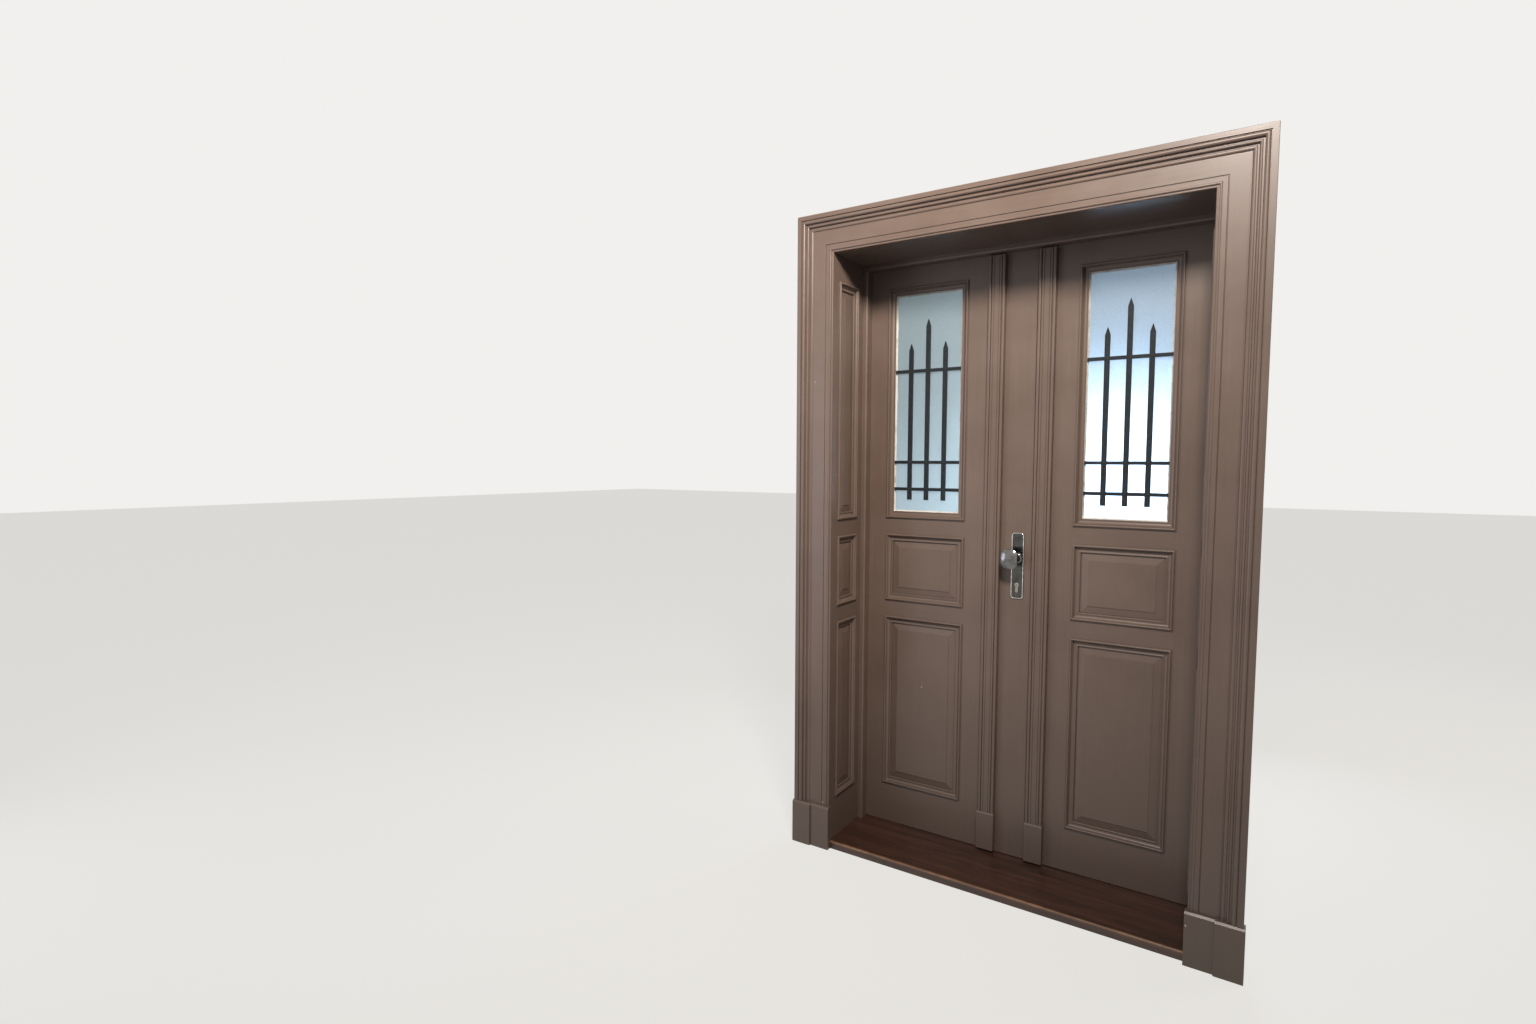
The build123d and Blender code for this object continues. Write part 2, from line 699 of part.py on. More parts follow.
def rod_bore(upper):
    length = rod_length + rod_throw + bore_extra
    z0 = leaf_top - length + rod_setback if upper else leaf_bottom - rod_setback
    return Pos(rod_x, rod_y, z0) * upright(rod_diameter / 2 + running_gap, length)


def together(shapes):
    """One group of the separate solids in a list of shapes."""
    return Compound([solid for shape in shapes for solid in shape.solids()])


def make_surround():
    """Casing, plinths, threshold, linings and door frame."""
    parts = {}
    parts["casing_left"], parts["casing_right"], parts["casing_head"] = make_casing()
    parts["plinth_left"], parts["plinth_right"] = make_plinth()
    parts["threshold"] = make_threshold()
    board, panels, mouldings = make_lining()
    for name, shape in (("", board), ("_panels", together(panels)), ("_mouldings", together(mouldings))):
        parts["lining" + name + "_left"] = shape
        parts["lining" + name + "_right"] = mirrored(shape)
    parts["lining_head"] = make_head_lining()
    parts["frame_post_left"], parts["frame_post_right"] = make_posts()
    parts["frame_head"], parts["head_keep"] = make_frame_head()
    return parts


def make_leaf(leaf, meeting_x):
    """All pieces of one leaf that both leaves have, set out as the left leaf."""
    hinge_stile, meeting_stile, rails = leaf_framing(meeting_x)
    front, back = leaf_mouldings()
    pieces = {"hinge_stile": hinge_stile, "meeting_stile": meeting_stile}
    pieces.update(zip(("bottom_rail", "middle_rail", "lock_rail", "top_rail"), rails))
    pieces["panels"] = together(leaf_panels())
    pieces["front_mouldings"] = together(front)
    pieces["back_mouldings"] = together(back)
    pieces["glass"] = leaf_glass()
    pieces["grille"] = leaf_grille()
    pieces["hinges_leaf_half"] = together([hinge_half(z, True) for z in hinge_heights])
    pieces["hinges_frame_half"] = together([hinge_half(z, False) for z in hinge_heights])
    return {leaf + "_" + name: shape for name, shape in pieces.items()}


def make_everything():
    parts = make_surround()
    parts.update(make_leaf("first", lock_edge_x))
    for name, shape in make_leaf("second", -second_edge_x).items():
        parts[name] = mirrored(shape)
    parts["first_meeting_stile"] -= case_solid(running_gap, seat_gap) + cylinder_body(running_gap, 2 * leaf_thickness)
    parts["second_meeting_stile"] -= strike_solid(seat_gap) + strike_slot()
    parts["second_meeting_stile"] -= together([rod_bore(True), rod_bore(False)])

    second_strip_x = second_edge_x + strip_edge_inset
    parts["first_strip"] = make_strip(strip_left_x)
    parts["second_strip"] = make_strip(second_strip_x)
    parts["first_strip_block"] = make_block(strip_left_x, block_lip, block_lip)
    parts["second_strip_block"] = make_block(second_strip_x, 0, block_lip)

    parts["lock_case"] = case_solid(0, 0) - cylinder_body(seat_gap, leaf_thickness) - bolt_solid(running_gap)
    parts["dead_bolt"] = bolt_solid(0)
    parts["lock_cylinder"] = cylinder_body(0, leaf_thickness + 2 * (plate_thickness + cylinder_proud))
    outer_plate = facing(leaf_front) * Pos(plate_x, 0, 0)
    inner_plate = facing_away(leaf_back) * Pos(-plate_x, 0, 0)
    parts["outer_plate"] = make_plate(outer_plate)
    parts["outer_knob"] = make_knob(outer_plate, -knob_offset)
    parts["inner_plate"] = make_plate(inner_plate)
    parts["inner_knob"] = make_knob(inner_plate, knob_offset)
    parts["thumb_turn"] = make_turn()
    parts["strike_plate"] = strike_solid(0) - strike_slot()
    parts["upper_edge_bolt"] = make_rod(True)
    parts["lower_edge_bolt"] = make_rod(False)
    return parts


os.makedirs("parts", exist_ok=True)
for node, shape in make_everything().items():
    export_step(shape, "parts/" + node + ".step")
    print(node, round(shape.volume / 1e3), "cm3")
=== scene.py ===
import math
import bpy
import numpy as np
from mathutils import Matrix, Vector


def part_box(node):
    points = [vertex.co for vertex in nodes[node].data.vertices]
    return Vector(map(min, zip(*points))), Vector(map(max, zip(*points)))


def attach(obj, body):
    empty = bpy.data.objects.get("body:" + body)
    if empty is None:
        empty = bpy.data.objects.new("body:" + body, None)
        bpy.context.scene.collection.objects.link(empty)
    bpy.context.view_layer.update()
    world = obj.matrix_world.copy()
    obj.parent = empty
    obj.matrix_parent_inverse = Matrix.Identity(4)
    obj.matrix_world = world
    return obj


# A pair of panelled and glazed entrance doors in their moulded casing, on a studio floor.

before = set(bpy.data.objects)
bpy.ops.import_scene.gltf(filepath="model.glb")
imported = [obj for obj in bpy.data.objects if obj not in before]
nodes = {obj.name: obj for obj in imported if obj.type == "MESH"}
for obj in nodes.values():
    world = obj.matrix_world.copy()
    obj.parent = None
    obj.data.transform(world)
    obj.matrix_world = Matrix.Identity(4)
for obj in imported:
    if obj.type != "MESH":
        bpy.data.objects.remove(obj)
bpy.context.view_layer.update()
print("frame loaded:", len(nodes), "nodes")


def linear(hexColour):
    # sRGB hex to the linear values that a socket takes, opaque
    channels = [int(hexColour[i:i + 2], 16) / 255 for i in (1, 3, 5)]
    lit = [c / 12.92 if c <= 0.04045 else ((c + 0.055) / 1.055) ** 2.4 for c in channels]
    return (*lit, 1.0)


def addNode(tree, kind, values=None, links=None):
    # adds one node: values are its settings and plain sockets, links the sockets that others feed;
    # Math and Mix sockets go by number, because their names repeat, and a Mix has its share at 0,
    # its values at 2 and 3, its colours at 6 and 7 and its mixed colour at output 2
    node = tree.nodes.new(kind)
    for key, value in (values or {}).items():
        if isinstance(key, str) and key not in node.inputs:
            setattr(node, key, value)
        else:
            node.inputs[key].default_value = value
    for key, source in (links or {}).items():
        tree.links.new(source, node.inputs[key])
    return node


def newMaterial(name):
    material = bpy.data.materials.new(name)
    material.use_nodes = True
    material.node_tree.nodes.clear()
    return material, material.node_tree


# The camera stands to the right of the doorway at eye height and looks half left.
view = {
    "position": (0.843, -2.686, 1.575),
    "yaw": 0.58935,  # radians, to the left of straight ahead
    "pitch": 0.06518,  # radians, downwards
    "roll": 0.00372,
    "lens": 18.047,  # mm
    "sensor": 36,  # mm
    "farthest": 200,  # metres
}


def addCamera():
    yaw, pitch, roll = view["yaw"], view["pitch"], view["roll"]
    ahead = Vector((-math.sin(yaw) * math.cos(pitch), math.cos(yaw) * math.cos(pitch),
                    -math.sin(pitch)))
    level = ahead.cross(Vector((0, 0, 1))).normalized()
    upright = level.cross(ahead)
    right = level * math.cos(roll) + upright * math.sin(roll)
    up = upright * math.cos(roll) - level * math.sin(roll)
    data = bpy.data.cameras.new("doorCamera")
    data.lens = view["lens"]
    data.sensor_width = view["sensor"]
    data.clip_end = view["farthest"]
    camera = bpy.data.objects.new("doorCamera", data)
    turn = Matrix((right, up, -ahead)).transposed().to_4x4()
    camera.matrix_world = Matrix.Translation(view["position"]) @ turn
    bpy.context.collection.objects.link(camera)
    bpy.context.scene.camera = camera


addCamera()
bpy.context.scene.view_settings.view_transform = "Standard"
print("camera set")


# Studio: a pale floor and a pale backdrop.
studio = {
    "floorSeen": "#e9e7e3",
    "floorLit": "#aaa8a7",  # what the floor throws back on the object
    "floorGlow": 0.84,  # share of the floor's own light, the rest keeps the object's shadow
    "floorSize": 60.0,  # metres
    "backdrop": "#f1f0ee",
    "skyColour": "#e3e6ec",
    "skyStrength": 0.25,
}

# Lamps: a small one high in front of the doors, a tall soft window at the left, daylight behind
# the panes and a rim light. Sizes are in metres, spreads in degrees, powers in watts.
lamps = {
    "key": {
        "position": (0.8, -1.95, 3.6), "target": (-1.1, 0.0, 1.9), "size": (0.6, 0.6),
        "spread": 118, "power": 77.0, "colour": "#fdf5ec",
    },
    "window": {
        "position": (-3.4, -2.9, 1.5), "target": (0.0, 0.0, 1.3), "size": (1.8, 3.1),
        "spread": 180, "power": 46.0, "colour": "#e6edff",
    },
    "day": {
        "position": (0.02, 2.3, 1.42), "target": (0.37, 0.3, 1.6), "size": (0.9, 0.9),
        "spread": 180, "power": 54.0, "colour": "#eaf3ff",
    },
    "yard": {
        "position": (-1.25, 2.3, 1.15), "target": (-0.35, 0.1, 1.5), "size": (1.0, 0.8),
        "spread": 180, "power": 5.0, "colour": "#eef4ff",
    },
    "rim": {
        "position": (3.6, 3.2, 2.8), "target": (0.0, 0.3, 1.3), "size": (1.8, 1.8),
        "spread": 180, "power": 70.0, "colour": "#fff6ec",
    },
}


def addLamp(name, lamp):
    data = bpy.data.lights.new(name, "AREA")
    data.shape = "ELLIPSE"
    data.size, data.size_y = lamp["size"]
    data.spread = math.radians(lamp["spread"])
    data.energy = lamp["power"]
    data.color = linear(lamp["colour"])[:3]
    holder = bpy.data.objects.new(name, data)
    holder.location = lamp["position"]
    aim = Vector(lamp["target"]) - Vector(lamp["position"])
    holder.rotation_euler = aim.to_track_quat("-Z", "Y").to_euler()
    bpy.context.collection.objects.link(holder)


def backgroundSeen(tree):
    # 1 where the background is looked at, directly, in a reflection or through a pane, else 0
    path = addNode(tree, "ShaderNodeLightPath")
    seen = path.outputs["Is Camera Ray"]
    for ray in ("Is Glossy Ray", "Is Transmission Ray"):
        either = addNode(tree, "ShaderNodeMath", {"operation": "MAXIMUM"},
                         {0: seen, 1: path.outputs[ray]})
        seen = either.outputs[0]
    return seen


def addFloor():
    # a flat square whose middle is at the origin
    half = studio["floorSize"] / 2
    corners = [(-half, -half, 0), (half, -half, 0), (half, half, 0), (-half, half, 0)]
    mesh = bpy.data.meshes.new("studioFloor")
    mesh.from_pydata(corners, [], [(0, 1, 2, 3)])
    floor = bpy.data.objects.new("studioFloor", mesh)
    bpy.context.collection.objects.link(floor)
    material, tree = newMaterial("studioFloorPaint")
    seen = backgroundSeen(tree)
    colour = addNode(tree, "ShaderNodeMix",
                     {"data_type": "RGBA", 6: linear(studio["floorLit"]),
                      7: linear(studio["floorSeen"])}, {0: seen})
    lit = addNode(tree, "ShaderNodeBsdfDiffuse", links={"Color": colour.outputs[2]})
    glow = addNode(tree, "ShaderNodeEmission",
                   {"Color": linear(studio["floorSeen"]), "Strength": 1.0})
    share = addNode(tree, "ShaderNodeMath", {"operation": "MULTIPLY", 1: studio["floorGlow"]},
                    {0: seen})
    mix = addNode(tree, "ShaderNodeMixShader",
                  links={0: share.outputs[0], 1: lit.outputs[0], 2: glow.outputs[0]})
    addNode(tree, "ShaderNodeOutputMaterial", links={"Surface": mix.outputs[0]})
    mesh.materials.append(material)


def addWorld():
    world = bpy.data.worlds.new("studioWorld")
    world.use_nodes = True
    tree = world.node_tree
    tree.nodes.clear()
    seen = backgroundSeen(tree)
    sky = addNode(tree, "ShaderNodeBackground",
                  {"Color": linear(studio["skyColour"]), "Strength": studio["skyStrength"]})
    backdrop = addNode(tree, "ShaderNodeBackground",
                       {"Color": linear(studio["backdrop"]), "Strength": 1.0})
    mix = addNode(tree, "ShaderNodeMixShader",
                  links={0: seen, 1: sky.outputs[0], 2: backdrop.outputs[0]})
    addNode(tree, "ShaderNodeOutputWorld", links={"Surface": mix.outputs[0]})
    bpy.context.scene.world = world


addFloor()
addWorld()
for lampName, lamp in lamps.items():
    addLamp(lampName + "Lamp", lamp)
print("studio set")


# Joinery paint: taupe satin oil paint brushed on softwood.
# It gives the eye a soft sheen, faint brush marks along each length, painted shade in the
# quirks, painted shade darkening it towards the floor and a few chips.
paint = {
    "colour": "#6b5a50",
    "shade": "#604f45",
    "shadeFrom": 0.36,  # noise value that is all shade
    "shadeTo": 0.64,  # noise value that is all colour
    "mottle": 0.35,  # metres between the middles of lighter and darker fields
    "brushWidth": 0.004,  # real marks are under a millimetre, drawn coarser so that they show
    "brushLength": 0.35,
    "brushDepth": 0.00018,
    "brushShare": 0.3,  # of the brush marks in the colour, the rest is the mottle
    "sleek": 0.29,  # lowest roughness
    "matt": 0.43,  # highest roughness
    # colour of the painted shade in the quirks and low down
    "paintedShade": "#3f3630",
    "quirkReach": 0.007,
    "quirkShut": 0.15,  # openness at which a quirk takes the most painted shade
    "quirkOpen": 0.70,  # openness from which there is no painted shade
    "quirkShade": 0.65,  # share of painted shade there
    "lowShadeHeight": 0.75,  # painted shade darkens it up to here, most at the floor
    "lowShade": 0.84,  # painted shade at the floor, times the mottle
    "primer": "#cfc6b8",
    "chipSpacing": 0.16,
    "chipSize": 0.016,  # share of the spacing
    "chipGrain": 0.0025,
    "chipRagged": 0.02,  # share of the spacing
}


def brushedPaint(name, run):
    # run is the axis along which the brush went, or None on mitred members
    material, tree = newMaterial(name)
    place = addNode(tree, "ShaderNodeTexCoord").outputs["Object"]
    stretch = [1 / paint["brushWidth"]] * 3
    if run:
        stretch["XYZ".index(run)] = 1 / paint["brushLength"]
    along = addNode(tree, "ShaderNodeMapping", {"Scale": stretch}, {"Vector": place})
    marks = addNode(tree, "ShaderNodeTexNoise", {"Scale": 1.0, "Detail": 3.0, "Roughness": 0.6},
                    {"Vector": along.outputs[0]})
    mottle = addNode(tree, "ShaderNodeTexNoise",
                     {"Scale": 1 / paint["mottle"], "Detail": 5.0, "Roughness": 0.6},
                     {"Vector": place})
    blend = addNode(tree, "ShaderNodeMix", {"data_type": "FLOAT", 0: paint["brushShare"]},
                    {2: mottle.outputs["Fac"], 3: marks.outputs["Fac"]})
    shading = addNode(tree, "ShaderNodeMapRange",
                      {"From Min": paint["shadeFrom"], "From Max": paint["shadeTo"]},
                      {"Value": blend.outputs[0]})
    colour = addNode(tree, "ShaderNodeMix",
                     {"data_type": "RGBA", 6: linear(paint["shade"]), 7: linear(paint["colour"])},
                     {0: shading.outputs[0]})
    # painted shade where the surface is closed in
    quirks = addNode(tree, "ShaderNodeAmbientOcclusion",
                     {"samples": 4, "Distance": paint["quirkReach"]})
    recessShade = addNode(tree, "ShaderNodeMapRange",
                      {"From Min": paint["quirkShut"], "From Max": paint["quirkOpen"],
                       "To Min": paint["quirkShade"], "To Max": 0.0},
                      {"Value": quirks.outputs["AO"]})
    colour = addNode(tree, "ShaderNodeMix", {"data_type": "RGBA", 7: linear(paint["paintedShade"])},
                     {0: recessShade.outputs[0], 6: colour.outputs[2]})
    # painted shade, darker towards the floor and fading out with height
    parts = addNode(tree, "ShaderNodeSeparateXYZ", links={0: place})
    low = addNode(tree, "ShaderNodeMapRange",
                  {"From Min": 0.0, "From Max": paint["lowShadeHeight"],
                   "To Min": paint["lowShade"], "To Max": 0.0},
                  {"Value": parts.outputs["Z"]})
    lowShading = addNode(tree, "ShaderNodeMath", {"operation": "MULTIPLY"},
                     {0: low.outputs[0], 1: mottle.outputs["Fac"]})
    colour = addNode(tree, "ShaderNodeMix", {"data_type": "RGBA", 7: linear(paint["paintedShade"])},
                     {0: lowShading.outputs[0], 6: colour.outputs[2]})
    # chips down to the primer, with ragged edges
    cells = addNode(tree, "ShaderNodeTexVoronoi", {"Scale": 1 / paint["chipSpacing"]},
                    {"Vector": place})
    grain = addNode(tree, "ShaderNodeTexNoise", {"Scale": 1 / paint["chipGrain"], "Detail": 1.0},
                    {"Vector": place})
    ragged = addNode(tree, "ShaderNodeMath",
                     {"operation": "MULTIPLY_ADD", 1: paint["chipRagged"],
                      2: -paint["chipRagged"] / 2}, {0: grain.outputs["Fac"]})
    edge = addNode(tree, "ShaderNodeMath", {"operation": "ADD"},
                   {0: ragged.outputs[0], 1: cells.outputs["Distance"]})
    chips = addNode(tree, "ShaderNodeMath", {"operation": "LESS_THAN", 1: paint["chipSize"]},
                    {0: edge.outputs[0]})
    colour = addNode(tree, "ShaderNodeMix", {"data_type": "RGBA", 7: linear(paint["primer"])},
                     {0: chips.outputs[0], 6: colour.outputs[2]})
    rough = addNode(tree, "ShaderNodeMapRange",
                    {"From Min": 0.3, "From Max": 0.7, "To Min": paint["sleek"],
                     "To Max": paint["matt"]}, {"Value": blend.outputs[0]})
    bump = addNode(tree, "ShaderNodeBump", {"Strength": 0.6, "Distance": paint["brushDepth"]},
                   {"Height": marks.outputs["Fac"]})
    surface = addNode(tree, "ShaderNodeBsdfPrincipled", {"IOR": 1.5},
                      {"Base Color": colour.outputs[2], "Roughness": rough.outputs[0],
                       "Normal": bump.outputs[0]})
    addNode(tree, "ShaderNodeOutputMaterial", links={"Surface": surface.outputs[0]})
    return material


uprightPaint = brushedPaint("satinOilPaintUpright", "Z")
levelPaint = brushedPaint("satinOilPaintLevel", "X")
mouldingPaint = brushedPaint("satinOilPaintMouldings", None)
print("paint made")


# Threshold: sawn hardwood, planed, stained red-brown and varnished.
# It gives the eye long dark grain under a clear gloss, worn paler along the nosing's arris.
hardwood = {
    "dark": "#21130d",
    "light": "#4b2f22",
    "grainFrom": 0.36,  # noise value that is all dark
    "grainTo": 0.66,  # noise value that is all light
    "grainWidth": 0.006,  # growth rings as they show on a flat-sawn board
    "grainLength": 0.45,
    "figure": 0.22,  # scale of the noise's first octave over that of the rings, drawn by finer ones
    "pore": 0.0012,
    "poreLength": 0.06,
    "poreShare": 0.32,
    "relief": 0.0002,
    "gloss": 0.28,  # roughness where the varnish is whole
    "dull": 0.46,  # roughness where it is rubbed
    "worn": "#8d6548",
    "wearBack": 0.006,  # Y at which the wear ends
    "wearFront": -0.002,  # Y at which it is full
    "wearLow": 0.020,  # Z at which it starts
    "wearHigh": 0.027,  # Z at which it is full
    "wear": 1.1,  # at its fullest, times the patches
    "patches": 18.0,  # per metre
}


def varnishedHardwood():
    material, tree = newMaterial("varnishedHardwood")
    place = addNode(tree, "ShaderNodeTexCoord").outputs["Object"]
    across = 1 / hardwood["grainWidth"] * hardwood["figure"]
    rings = addNode(tree, "ShaderNodeMapping",
                    {"Scale": (1 / hardwood["grainLength"], across, across)}, {"Vector": place})
    warp = addNode(tree, "ShaderNodeTexNoise",
                   {"Scale": 0.9, "Detail": 6.0, "Roughness": 0.62, "Distortion": 1.1},
                   {"Vector": rings.outputs[0]})
    fine = 1 / hardwood["pore"]
    fibre = addNode(tree, "ShaderNodeMapping",
                    {"Scale": (1 / hardwood["poreLength"], fine, fine)}, {"Vector": place})
    pores = addNode(tree, "ShaderNodeTexNoise", {"Scale": 1.0, "Detail": 2.0},
                    {"Vector": fibre.outputs[0]})
    blend = addNode(tree, "ShaderNodeMix", {"data_type": "FLOAT", 0: hardwood["poreShare"]},
                    {2: warp.outputs["Fac"], 3: pores.outputs["Fac"]})
    grain = addNode(tree, "ShaderNodeMapRange",
                    {"From Min": hardwood["grainFrom"], "From Max": hardwood["grainTo"]},
                    {"Value": blend.outputs[0]})
    colour = addNode(tree, "ShaderNodeMix",
                     {"data_type": "RGBA", 6: linear(hardwood["dark"]),
                      7: linear(hardwood["light"])}, {0: grain.outputs[0]})
    # wear on the arris, in patches
    parts = addNode(tree, "ShaderNodeSeparateXYZ", links={0: place})
    front = addNode(tree, "ShaderNodeMapRange",
                    {"From Min": hardwood["wearBack"], "From Max": hardwood["wearFront"],
                     "To Min": 0.0, "To Max": hardwood["wear"]}, {"Value": parts.outputs["Y"]})
    top = addNode(tree, "ShaderNodeMapRange",
                  {"From Min": hardwood["wearLow"], "From Max": hardwood["wearHigh"]},
                  {"Value": parts.outputs["Z"]})
    arris = addNode(tree, "ShaderNodeMath", {"operation": "MULTIPLY"},
                    {0: front.outputs[0], 1: top.outputs[0]})
    patchy = addNode(tree, "ShaderNodeTexNoise", {"Scale": hardwood["patches"], "Detail": 4.0},
                     {"Vector": place})
    wear = addNode(tree, "ShaderNodeMath", {"operation": "MULTIPLY"},
                   {0: arris.outputs[0], 1: patchy.outputs["Fac"]})
    colour = addNode(tree, "ShaderNodeMix", {"data_type": "RGBA", 7: linear(hardwood["worn"])},
                     {0: wear.outputs[0], 6: colour.outputs[2]})
    rough = addNode(tree, "ShaderNodeMapRange",
                    {"From Min": 0.3, "From Max": 0.7, "To Min": hardwood["gloss"],
                     "To Max": hardwood["dull"]}, {"Value": patchy.outputs["Fac"]})
    bump = addNode(tree, "ShaderNodeBump", {"Strength": 0.35, "Distance": hardwood["relief"]},
                   {"Height": blend.outputs[0]})
    surface = addNode(tree, "ShaderNodeBsdfPrincipled",
                      {"IOR": 1.52, "Coat Weight": 0.25, "Coat Roughness": 0.12},
                      {"Base Color": colour.outputs[2], "Roughness": rough.outputs[0],
                       "Normal": bump.outputs[0]})
    addNode(tree, "ShaderNodeOutputMaterial", links={"Surface": surface.outputs[0]})
    return material


# Panes: rolled obscure glass, its back face cast with small hammered dimples.
# It gives the eye a milky blue-green light with no view through, and a fine sparkle.
glass = {
    "first": {
        "tint": "#a0b0b6", "dimpleTint": "#90a3aa", "dimple": 0.0045, "depth": 0.0004,
        "haze": 0.55,
    },
    "second": {
        "tint": "#9bafbf", "dimpleTint": "#8a9fb1", "dimple": 0.0050, "depth": 0.0006,
        "haze": 0.50,
    },
    "clear": 0.78,  # share of the light that passes through
    "ripples": 60.0,  # per metre
    "rippleShare": 0.5,  # height of a ripple over that of a dimple
    "dimpleFrom": 0.1,  # distance from a dimple's middle where its own tint ends
    "dimpleTo": 0.9,
}


def obscuredGlass(name, pane):
    material, tree = newMaterial(name)
    place = addNode(tree, "ShaderNodeTexCoord").outputs["Object"]
    dimples = addNode(tree, "ShaderNodeTexVoronoi",
                      {"feature": "SMOOTH_F1", "Scale": 1 / pane["dimple"], "Smoothness": 0.7},
                      {"Vector": place})
    ripple = addNode(tree, "ShaderNodeTexNoise", {"Scale": glass["ripples"], "Detail": 2.0},
                     {"Vector": place})
    height = addNode(tree, "ShaderNodeMath",
                     {"operation": "MULTIPLY_ADD", 1: glass["rippleShare"]},
                     {0: ripple.outputs["Fac"], 2: dimples.outputs["Distance"]})
    bump = addNode(tree, "ShaderNodeBump", {"Strength": 0.8, "Distance": pane["depth"]},
                   {"Height": height.outputs[0]})
    shade = addNode(tree, "ShaderNodeMapRange",
                    {"From Min": glass["dimpleFrom"], "From Max": glass["dimpleTo"]},
                    {"Value": dimples.outputs["Distance"]})
    colour = addNode(tree, "ShaderNodeMix",
                     {"data_type": "RGBA", 6: linear(pane["tint"]),
                      7: linear(pane["dimpleTint"])}, {0: shade.outputs[0]})
    surface = addNode(tree, "ShaderNodeBsdfPrincipled",
                      {"IOR": 1.52, "Transmission Weight": glass["clear"],
                       "Roughness": pane["haze"]},
                      {"Base Color": colour.outputs[2], "Normal": bump.outputs[0]})
    addNode(tree, "ShaderNodeOutputMaterial", links={"Surface": surface.outputs[0]})
    return material


# Grille: flat iron bar, forged and painted black.
# It gives the eye shallow hammer marks that catch soft lights on a near-black skin.
iron = {
    "colour": "#131518",
    "worn": "#22262a",
    "hammer": 0.011,
    "hammerDepth": 0.0005,
    "grit": 700.0,  # per metre
    "gritShare": 0.12,  # height of the grit over that of a hammer mark
    "sleek": 0.42,  # lowest roughness
    "matt": 0.64,  # highest roughness
    "specular": 0.25,
}


def forgedIron():
    material, tree = newMaterial("blackPaintedForgedIron")
    place = addNode(tree, "ShaderNodeTexCoord").outputs["Object"]
    marks = addNode(tree, "ShaderNodeTexVoronoi",
                    {"feature": "SMOOTH_F1", "Scale": 1 / iron["hammer"], "Smoothness": 1.0},
                    {"Vector": place})
    grit = addNode(tree, "ShaderNodeTexNoise", {"Scale": iron["grit"], "Detail": 2.0},
                   {"Vector": place})
    height = addNode(tree, "ShaderNodeMath", {"operation": "MULTIPLY_ADD", 1: iron["gritShare"]},
                     {0: grit.outputs["Fac"], 2: marks.outputs["Distance"]})
    bump = addNode(tree, "ShaderNodeBump", {"Strength": 0.9, "Distance": iron["hammerDepth"]},
                   {"Height": height.outputs[0]})
    colour = addNode(tree, "ShaderNodeMix",
                     {"data_type": "RGBA", 6: linear(iron["colour"]), 7: linear(iron["worn"])},
                     {0: marks.outputs["Distance"]})
    rough = addNode(tree, "ShaderNodeMapRange", {"To Min": iron["sleek"], "To Max": iron["matt"]},
                    {"Value": grit.outputs["Fac"]})
    surface = addNode(tree, "ShaderNodeBsdfPrincipled",
                      {"IOR": 1.5, "Specular IOR Level": iron["specular"]},
                      {"Base Color": colour.outputs[2], "Roughness": rough.outputs[0],
                       "Normal": bump.outputs[0]})
    addNode(tree, "ShaderNodeOutputMaterial", links={"Surface": surface.outputs[0]})
    return material


# Metals: plated or drawn, then polished or brushed along one axis.
# Each gives the eye a metal mirror softened by fine scratches and by the smudges of hands.
metals = {
    "polishedNickel": {
        # its colour is darkened, a painted reflection of a dim room
        "colour": "#605e5b", "smudge": "#494745", "roughness": 0.14, "run": "Z",
        "scratch": 0.0006,
    },
    "knobNickel": {
        # its colour is darkened, a painted reflection of a dim room; the lamps give its highlights
        "colour": "#7d7c7b", "smudge": "#626160", "roughness": 0.10, "run": None,
        "scratch": 0.0008,
    },
    "rimNickel": {
        "colour": "#cfcdc9", "smudge": "#a5a39f", "roughness": 0.16, "run": "Z",
        "scratch": 0.0006,
    },
    "platedBrass": {
        "colour": "#a8a294", "smudge": "#868073", "roughness": 0.24, "run": "Y",
        "scratch": 0.0006,
    },
    "zincSteel": {
        "colour": "#9a9a99", "smudge": "#7c7c7b", "roughness": 0.34, "run": "Z",
        "scratch": 0.0008,
    },
    "hingeSteel": {
        "colour": "#85807a", "smudge": "#635f5a", "roughness": 0.32, "run": "Z",
        "scratch": 0.0008,
    },
}
metalWear = {
    "scratchLength": 0.03,
    "scratchDepth": 0.00004,
    "smudges": 55.0,  # per metre
    "smudgeFrom": 0.4,  # noise value where a smudge starts
    "smudgeTo": 0.68,  # noise value where it is full
    "smudgeDull": 0.16,  # roughness that it adds
}


